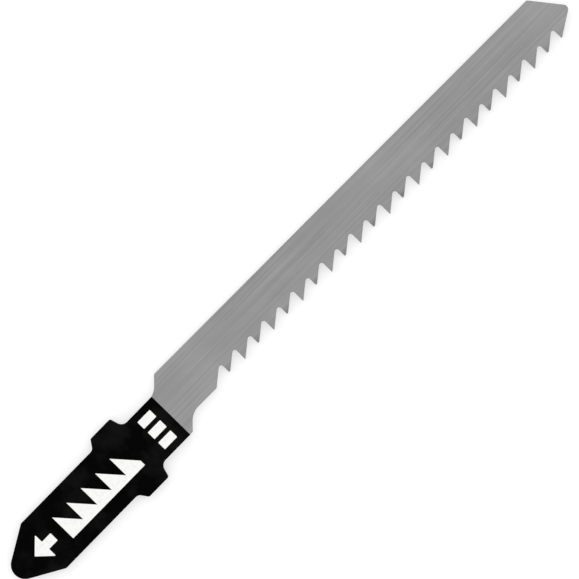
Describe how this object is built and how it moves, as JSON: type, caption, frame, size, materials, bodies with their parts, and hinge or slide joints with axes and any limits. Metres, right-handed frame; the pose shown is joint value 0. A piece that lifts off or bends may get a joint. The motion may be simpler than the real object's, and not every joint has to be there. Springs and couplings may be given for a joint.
{
  "type": "jigsaw blade",
  "caption": "Narrow jigsaw blade with a pointed T shank, side-set milled teeth and a bevelled point, for curved cuts in wood.",
  "frame": {"origin": "on the shank's axis, midway along the two lugs, on the lower flat", "axes": "+X along the shank towards the cutting point, teeth facing -Y, +Z through the blade's thickness, up from the side it lies on"},
  "size_m": [0.0772, 0.008, 0.0015],
  "materials": {
    "steel": "satin",
    "shank_lacquer": "satin",
    "shank_print": "matte"
  },
  "bodies": {
    "root": {"blade": "steel"}
  },
  "joints": []
}
